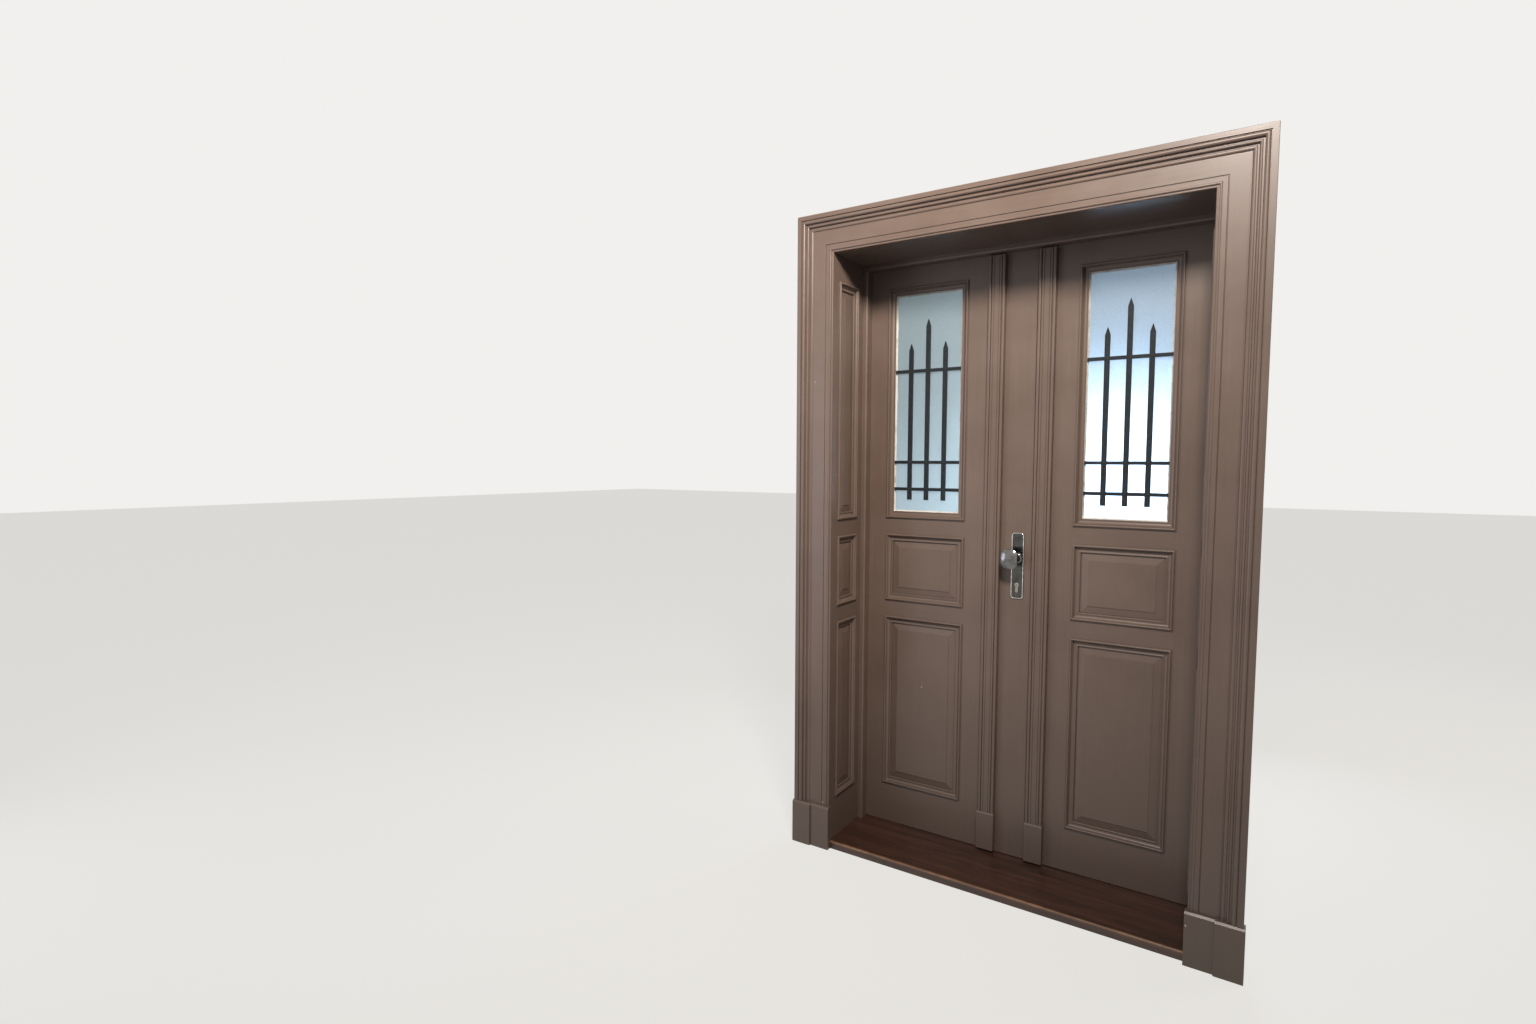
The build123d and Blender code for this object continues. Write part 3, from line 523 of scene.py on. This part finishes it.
def workedMetal(name):
    metal = metals[name]
    material, tree = newMaterial(name)
    place = addNode(tree, "ShaderNodeTexCoord").outputs["Object"]
    stretch = [1 / metal["scratch"]] * 3
    if metal["run"]:
        stretch["XYZ".index(metal["run"])] = 1 / metalWear["scratchLength"]
    along = addNode(tree, "ShaderNodeMapping", {"Scale": stretch}, {"Vector": place})
    scratches = addNode(tree, "ShaderNodeTexNoise", {"Scale": 1.0, "Detail": 2.0},
                        {"Vector": along.outputs[0]})
    cloud = addNode(tree, "ShaderNodeTexNoise",
                    {"Scale": metalWear["smudges"], "Detail": 3.0, "Roughness": 0.55},
                    {"Vector": place})
    smudges = addNode(tree, "ShaderNodeMapRange",
                      {"From Min": metalWear["smudgeFrom"], "From Max": metalWear["smudgeTo"]},
                      {"Value": cloud.outputs["Fac"]})
    colour = addNode(tree, "ShaderNodeMix",
                     {"data_type": "RGBA", 6: linear(metal["colour"]),
                      7: linear(metal["smudge"])}, {0: smudges.outputs[0]})
    rough = addNode(tree, "ShaderNodeMapRange",
                    {"To Min": metal["roughness"],
                     "To Max": metal["roughness"] + metalWear["smudgeDull"]},
                    {"Value": smudges.outputs[0]})
    bump = addNode(tree, "ShaderNodeBump",
                   {"Strength": 0.25, "Distance": metalWear["scratchDepth"]},
                   {"Height": scratches.outputs["Fac"]})
    surface = addNode(tree, "ShaderNodeBsdfPrincipled", {"Metallic": 1.0},
                      {"Base Color": colour.outputs[2], "Roughness": rough.outputs[0],
                       "Normal": bump.outputs[0]})
    addNode(tree, "ShaderNodeOutputMaterial", links={"Surface": surface.outputs[0]})
    return material


woodFinish = varnishedHardwood()
firstPane = obscuredGlass("frostedRolledGlass", glass["first"])
secondPane = obscuredGlass("hammeredRolledGlass", glass["second"])
ironFinish = forgedIron()
metalFinish = {name: workedMetal(name) for name in metals}
print("other finishes made")


# The record's material slots with their finishes; painted members are brushed along their length.
levelNames = ("rail", "casing_head", "lining_head", "frame_head")
slotFinish = {
    "varnished_hardwood": woodFinish,
    "wrought_iron": ironFinish,
    "hinge_steel": metalFinish["hingeSteel"],
    "satin_nickel": metalFinish["polishedNickel"],
    "cylinder_brass": metalFinish["platedBrass"],
    "lock_steel": metalFinish["zincSteel"],
}


def finishFor(name, slotName):
    if slotName == "painted_wood":
        if "mouldings" in name:
            return mouldingPaint
        return levelPaint if any(word in name for word in levelNames) else uprightPaint
    if slotName == "obscured_glass":
        return firstPane if name.startswith("first") else secondPane
    return metalFinish["knobNickel"] if "knob" in name else slotFinish[slotName]


for name, piece in nodes.items():
    finish = finishFor(name, piece.material_slots[0].material.name.split(".")[0])
    for slot in piece.material_slots:
        slot.material = finish
print("finishes laid on")


def meshFrom(name, points, faces, material, body):
    # one finished piece from its points in metres and its faces, with its place in its mesh
    mesh = bpy.data.meshes.new(name)
    mesh.from_pydata(points.tolist(), [], faces)
    mesh.update()
    mesh.materials.append(material)
    mesh.polygons.foreach_set("use_smooth", np.ones(len(mesh.polygons), dtype=bool))
    piece = bpy.data.objects.new(name, mesh)
    bpy.context.collection.objects.link(piece)
    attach(piece, body)


def ringFaces(rows, columns):
    # quads between neighbouring rows of a surface that is closed in both directions
    row, column = np.meshgrid(np.arange(rows), np.arange(columns), indexing="ij")
    here, above = row * columns, (row + 1) % rows * columns
    beside = (column + 1) % columns
    corners = (here + column, here + beside, above + beside, above + column)
    return np.stack(corners, axis=-1).reshape(-1, 4).tolist()


# Raised rim round each lock plate, cast with it and polished.
rim = {
    "inset": 0.0026,  # from the plate's edge to the rim's middle line
    "radius": 0.0024,
    "corner": 0.012,  # radius of the plate's own corners
    "proud": 0.0014,
    "steps": 14,  # round each corner
    "around": 14,
}


def plateRim(name, node, side):
    # a circle of the rim's radius carried round the plate's outline, straight sides joined by
    # quarter circles; side is 1 on the approach side and -1 inside
    low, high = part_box(node)
    face = -low[1] if side > 0 else high[1]
    halfWidth = (high[0] - low[0]) / 2 - rim["inset"]
    halfHeight = (high[2] - low[2]) / 2 - rim["inset"]
    corner = rim["corner"] - rim["inset"]
    turn = np.linspace(0, np.pi / 2, rim["steps"])
    angles = np.concatenate([turn + quarter * np.pi / 2 for quarter in range(4)])
    signX = np.repeat([1, -1, -1, 1], rim["steps"])
    signZ = np.repeat([1, 1, -1, -1], rim["steps"])
    outward = np.stack((np.cos(angles), np.sin(angles)), axis=-1)
    centres = np.stack((signX * (halfWidth - corner), signZ * (halfHeight - corner)), axis=-1)
    path = outward * corner + centres
    around = np.linspace(0, 2 * np.pi, rim["around"], endpoint=False)
    reach = rim["radius"] * np.cos(around)
    lift = rim["radius"] * np.sin(around) - rim["radius"] + rim["proud"]
    flat = path[:, None, :] + outward[:, None, :] * reach[None, :, None]
    across = flat[..., 0] + side * (low[0] + high[0]) / 2
    up = flat[..., 1] + (low[2] + high[2]) / 2
    out = np.broadcast_to(lift, up.shape) + face
    points = np.stack((side * across, -side * out, up), axis=-1).reshape(-1, 3)
    meshFrom(name, points, ringFaces(len(path), rim["around"]), metalFinish["rimNickel"],
             "first_leaf")


plateRim("outerPlateRim", "outer_plate", 1)
plateRim("innerPlateRim", "inner_plate", -1)
print("plate rims made")


# Glazing sealant: neutral-cure silicone, gunned in round each pane and tooled with a finger.
# It gives the eye a pale matt line between glass and moulding, a little uneven in width.
sealant = {
    "lap": 0.0217,  # from the pane's edge to the moulding's sight edge
    "up": 0.0080,  # up the moulding's side
    "over": 0.0050,  # over the glass
    "hollow": 1.6,  # power of the face's curve, 1 is flat
    "wander": 0.0005,
    "waves": (23, 57),  # of the wandering, round the whole pane
    "waveShift": 1.3,  # radians
    "bed": 0.0003,  # how far it reaches into glass and moulding
    "step": 0.012,
    "around": 7,
    "colour": "#cbc7bf",
    "grime": "#a59c8e",
    "grimeFrom": 0.48,  # noise value where grime starts
    "grimeTo": 0.72,  # noise value where it is full
    "patches": 28.0,  # per metre
    "relief": 0.0003,
}


def sealantFinish():
    material, tree = newMaterial("paleGlazingSilicone")
    place = addNode(tree, "ShaderNodeTexCoord").outputs["Object"]
    patches = addNode(tree, "ShaderNodeTexNoise", {"Scale": sealant["patches"], "Detail": 4.0},
                      {"Vector": place})
    grime = addNode(tree, "ShaderNodeMapRange",
                    {"From Min": sealant["grimeFrom"], "From Max": sealant["grimeTo"]},
                    {"Value": patches.outputs["Fac"]})
    colour = addNode(tree, "ShaderNodeMix",
                     {"data_type": "RGBA", 6: linear(sealant["colour"]),
                      7: linear(sealant["grime"])}, {0: grime.outputs[0]})
    bump = addNode(tree, "ShaderNodeBump", {"Strength": 0.4, "Distance": sealant["relief"]},
                   {"Height": patches.outputs["Fac"]})
    surface = addNode(tree, "ShaderNodeBsdfPrincipled", {"IOR": 1.41, "Roughness": 0.55},
                      {"Base Color": colour.outputs[2], "Normal": bump.outputs[0]})
    addNode(tree, "ShaderNodeOutputMaterial", links={"Surface": surface.outputs[0]})
    return material


sealantSkin = sealantFinish()


def addSealant(leaf):
    # a three-cornered profile with a hollow face, carried round the pane's sight rectangle; its
    # width wanders as a sum of two sines of the way along the path, and the corners are mitred by
    # scaling towards the rectangle's middle
    low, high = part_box(leaf + "_glass")
    left, right = low[0] + sealant["lap"], high[0] - sealant["lap"]
    bottom, top = low[2] + sealant["lap"], high[2] - sealant["lap"]
    corners = np.array(((left, bottom), (right, bottom), (right, top), (left, top)))
    runs = []
    for start, end in zip(corners, np.roll(corners, -1, axis=0)):
        count = int(np.linalg.norm(end - start) / sealant["step"])
        share = np.linspace(0, 1, count, endpoint=False)
        runs.append(start + (end - start) * share[:, None])
    path = np.concatenate(runs)
    middle = corners.mean(axis=0)
    half = corners[2] - middle
    way = np.arange(len(path)) / len(path) * 2 * np.pi
    slow, fast = sealant["waves"]
    waves = np.sin(way * slow) + np.sin(way * fast + sealant["waveShift"])
    width = 1 + waves * sealant["wander"] / sealant["over"] / 2
    # the hollow face runs from the moulding's side to the glass, then two corners lie in the bed
    share = np.linspace(0, 1, sealant["around"])
    over = sealant["over"] * share ** sealant["hollow"]
    out = sealant["up"] * (1 - share) ** sealant["hollow"]
    over = np.append(over, (sealant["over"], -sealant["bed"], -sealant["bed"]))
    out = np.append(out, (-sealant["bed"], -sealant["bed"], sealant["up"]))
    inward = over[None, :] * np.where(over > 0, width[:, None], 1.0)
    scaled = (path - middle)[:, None, :] * (1 - inward[:, :, None] / half[None, None, :])
    spot = scaled + middle
    depth = low[1] - np.broadcast_to(out[None, :], spot.shape[:2])
    points = np.stack((spot[..., 0], depth, spot[..., 1]), axis=-1)
    meshFrom(leaf + "GlazingSealant", points.reshape(-1, 3), ringFaces(*points.shape[:2]),
             sealantSkin, leaf + "_leaf")


addSealant("first")
addSealant("second")
print("glazing sealant made")


# Draught seals in the gap between the leaves: brush pile of nylon, glued along the second leaf.
# They give the eye a soft black line, with fibres that lie across it.
seal = {
    "reach": 0.0033,  # across the gap, which is 3.5 mm
    "deep": 0.0060,
    "squareness": 0.6,  # power of the outline's sine and cosine, 1 is round
    "inset": 0.0016,  # from the leaf's face
    "bed": 0.0002,
    "endGap": 0.002,
    "step": 0.050,
    "around": 16,
    "colour": "#1b1a19",
    "tips": "#3a3734",
    "fibre": 0.0008,
    "fibreRun": 60.0,  # tufts per metre along a fibre
    "relief": 0.0003,
}


def pileFinish():
    material, tree = newMaterial("blackNylonPile")
    place = addNode(tree, "ShaderNodeTexCoord").outputs["Object"]
    fibres = addNode(tree, "ShaderNodeMapping",
                     {"Scale": (seal["fibreRun"], 1 / seal["fibre"], 1 / seal["fibre"])},
                     {"Vector": place})
    tufts = addNode(tree, "ShaderNodeTexNoise", {"Scale": 1.0, "Detail": 2.0},
                    {"Vector": fibres.outputs[0]})
    colour = addNode(tree, "ShaderNodeMix",
                     {"data_type": "RGBA", 6: linear(seal["colour"]), 7: linear(seal["tips"])},
                     {0: tufts.outputs["Fac"]})
    bump = addNode(tree, "ShaderNodeBump", {"Strength": 0.7, "Distance": seal["relief"]},
                   {"Height": tufts.outputs["Fac"]})
    surface = addNode(tree, "ShaderNodeBsdfPrincipled",
                      {"IOR": 1.53, "Roughness": 0.85, "Specular IOR Level": 0.3},
                      {"Base Color": colour.outputs[2], "Normal": bump.outputs[0]})
    addNode(tree, "ShaderNodeOutputMaterial", links={"Surface": surface.outputs[0]})
    return material


pileSkin = pileFinish()


def squarish(wave):
    # the wave's size to the power of the seal's squareness, with the wave's sign
    return np.sign(wave) * np.abs(wave) ** seal["squareness"]


def addSeal(name, front):
    # a superellipse, the squarish cosine and sine, carried up the gap and closed at both ends
    low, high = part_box("second_meeting_stile")
    turn = np.linspace(0, 2 * np.pi, seal["around"], endpoint=False)
    halfReach = (seal["reach"] + seal["bed"]) / 2
    across = squarish(np.cos(turn)) * halfReach + low[0] + seal["bed"] - halfReach
    inside = seal["inset"] + seal["deep"] / 2
    middle = low[1] + inside if front else high[1] - inside
    depth = squarish(np.sin(turn)) * seal["deep"] / 2 + middle
    bottom, top = low[2] + seal["endGap"], high[2] - seal["endGap"]
    heights = np.append(np.arange(bottom, top, seal["step"]), top)
    shape = (len(heights), seal["around"])
    grids = (across, depth, heights[:, None])
    points = np.stack([np.broadcast_to(grid, shape) for grid in grids], axis=-1).reshape(-1, 3)
    faces = ringFaces(*shape)[:-seal["around"]]  # without the quads from the top to the foot
    faces.append(list(range(seal["around"] - 1, -1, -1)))
    faces.append(list(range(len(points) - seal["around"], len(points))))
    meshFrom(name, points, faces, pileSkin, "second_leaf")


addSeal("frontDraughtSeal", True)
addSeal("backDraughtSeal", False)
print("draught seals made")


# Across, up and out of a small head that looks along each axis.
headAxes = {
    "-Y": ((1, 0, 0), (0, 0, 1), (0, -1, 0)),
    "+Y": ((-1, 0, 0), (0, 0, 1), (0, 1, 0)),
    "+X": ((0, 1, 0), (0, 0, 1), (1, 0, 0)),
    "-X": ((0, -1, 0), (0, 0, 1), (-1, 0, 0)),
}
headNet = {
    "clear": 1.5,  # chords nearer to the middle than this many half slots are left out
    "lean": 0.98,  # foot of the slot's walls as a share of the half slot
    "inside": 0.99,  # share of the half slot that lies at its depth
    "tip": 0.02,  # shortest half chord as a share of the radius
}


def headSurface(head):
    # disc covered by chords: x runs over the chords' places, doubled at the slot's walls, and y is
    # a share of each chord's half length; the top is a low dome sunk inside the slot, the
    # underside the same net at a flat depth
    radius, slotHalf = head["radius"], head["slotHalf"]
    places = np.sin(np.linspace(-np.pi / 2, np.pi / 2, head["lines"])) * radius
    places = places[np.abs(places) > slotHalf * headNet["clear"]]
    foot = slotHalf * headNet["lean"]
    x = np.sort(np.append(places, (-slotHalf, -foot, foot, slotHalf)))
    share = np.sin(np.linspace(-np.pi / 2, np.pi / 2, head["rows"]))
    chord = np.sqrt(np.maximum(radius ** 2 - x ** 2, (radius * headNet["tip"]) ** 2))
    across = np.repeat(x[:, None], head["rows"], axis=1)
    up = chord[:, None] * share[None, :]
    dome = head["rise"] * (1 - (across ** 2 + up ** 2) / radius ** 2)
    inSlot = (np.abs(across) < slotHalf * headNet["inside"]) & (np.abs(up) < head["slotReach"])
    top = np.where(inSlot, -head["slotDepth"], dome)
    return across, up, top, np.full_like(top, -head["body"])


def netFaces(columns, rows):
    # quads of an upper and a lower net of the same size, joined round their edges
    index = np.arange(columns * rows).reshape(columns, rows)
    corners = (index[:-1, :-1], index[1:, :-1], index[1:, 1:], index[:-1, 1:])
    quads = np.stack(corners, axis=-1).reshape(-1, 4)
    under = quads[:, ::-1] + columns * rows
    edge = np.concatenate((index[:, 0], index[-1, 1:], index[-2::-1, -1], index[0, -2:0:-1]))
    following = np.roll(edge, -1)
    walls = (following, edge, edge + columns * rows, following + columns * rows)
    return np.concatenate((quads, under, np.stack(walls, axis=-1)))


def addHeads(name, places, head, material, body):
    # one piece of many alike heads; a place is (x, y, z, outward axis, turn of its slot in degrees)
    across, up, top, under = headSurface(head)
    faces = netFaces(*across.shape)
    upper = np.stack((across, up, top), axis=-1).reshape(-1, 3)
    lower = np.stack((across, up, under), axis=-1).reshape(-1, 3)
    flat = np.concatenate((upper, lower))
    clouds, nets = [], []
    for index, (x, y, z, axis, turn) in enumerate(places):
        cosine, sine = math.cos(math.radians(turn)), math.sin(math.radians(turn))
        spin = np.array(((cosine, -sine, 0), (sine, cosine, 0), (0, 0, 1)))
        clouds.append(flat @ spin.T @ np.array(headAxes[axis], dtype=float) + np.array((x, y, z)))
        nets.append(faces + index * len(flat))
    meshFrom(name, np.concatenate(clouds), np.concatenate(nets).tolist(), material, body)


# Slotted wood screws, countersunk, with their heads slightly domed.
screws = {
    "radius": 0.0034,
    "rise": 0.0005,
    "slotHalf": 0.0005,
    "slotDepth": 0.0009,
    "slotReach": 0.0038,  # past the radius, so the slot is open at both ends
    "body": 0.0015,
    "lines": 9,
    "rows": 13,
    "proud": 0.0003,
    "plateEnd": 0.016,  # from each end of the plate, case or keep to its screw
    "caseEnd": 0.014,
    "keepEnd": 0.013,
    "plateTurns": (24, -37),  # degrees, lower and upper screw
    "caseTurns": (80, 12),
    "keepTurns": (30, 66),
}


def endPlaces(x, y, low, high, axis, kind):
    # a place near each end of a plate, case or keep, which kind names
    heights = (low[2] + screws[kind + "End"], high[2] - screws[kind + "End"])
    return [(x, y, z, axis, turn) for z, turn in zip(heights, screws[kind + "Turns"])]


def plateScrews():
    places = []
    for node, axis in (("outer_plate", "-Y"), ("inner_plate", "+Y")):
        low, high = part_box(node)
        y = low[1] - screws["proud"] if axis == "-Y" else high[1] + screws["proud"]
        places += endPlaces((low[0] + high[0]) / 2, y, low, high, axis, "plate")
    low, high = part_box("lock_case")
    places += endPlaces(high[0] + screws["proud"], (low[1] + high[1]) / 2, low, high, "+X",
                        "case")
    addHeads("lockScrews", places, screws, metalFinish["polishedNickel"], "first_leaf")
    low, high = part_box("strike_plate")
    places = endPlaces(low[0] - screws["proud"], (low[1] + high[1]) / 2, low, high, "-X",
                       "keep")
    addHeads("strikeScrews", places, screws, metalFinish["zincSteel"], "second_leaf")


plateScrews()
print("screws made")


# Key end of the lock cylinder: a turning plug with its keyway, in the outer face.
plug = {
    "radius": 0.0062,
    "rise": 0.0003,
    "slotHalf": 0.0009,  # the keyway
    "slotDepth": 0.004,
    "slotReach": 0.0042,
    "body": 0.005,
    "lines": 17,
    "rows": 25,
    "proud": 0.0005,
    "fromTop": 0.0085,  # half of the cylinder's round part
}


def addPlug():
    low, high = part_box("lock_cylinder")
    place = ((low[0] + high[0]) / 2, low[1] - plug["proud"], high[2] - plug["fromTop"], "-Y", 0)
    addHeads("cylinderPlug", [place], plug, metalFinish["platedBrass"], "first_leaf")


addPlug()
print("cylinder plug made")


# Rivets where the grille's bars cross, their heads hammered over.
rivets = {
    "radius": 0.0042,
    "rise": 0.0018,
    "slotHalf": 0.0001,
    "slotDepth": 0.0,
    "slotReach": 0.0,  # so no slot is cut
    "body": 0.002,
    "lines": 9,
    "rows": 9,
    "proud": 0.0002,
    "spacing": 0.073,  # between the upright bars
    "lowerBars": (0.044, 0.155),  # from the grille's foot up to the two lower cross bars
    "upperBar": 0.206,  # from its highest tip down to the upper cross bar
}


def grilleRivets(leaf):
    low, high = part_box(leaf + "_grille")
    middle = (low[0] + high[0]) / 2
    heights = [low[2] + bar for bar in rivets["lowerBars"]] + [high[2] - rivets["upperBar"]]
    places = [(middle + bar * rivets["spacing"], low[1] - rivets["proud"], height, "-Y", 0)
              for bar in (-1, 0, 1) for height in heights]
    addHeads(leaf + "GrilleRivets", places, rivets, ironFinish, leaf + "_leaf")


grilleRivets("first")
grilleRivets("second")
print("rivets made")
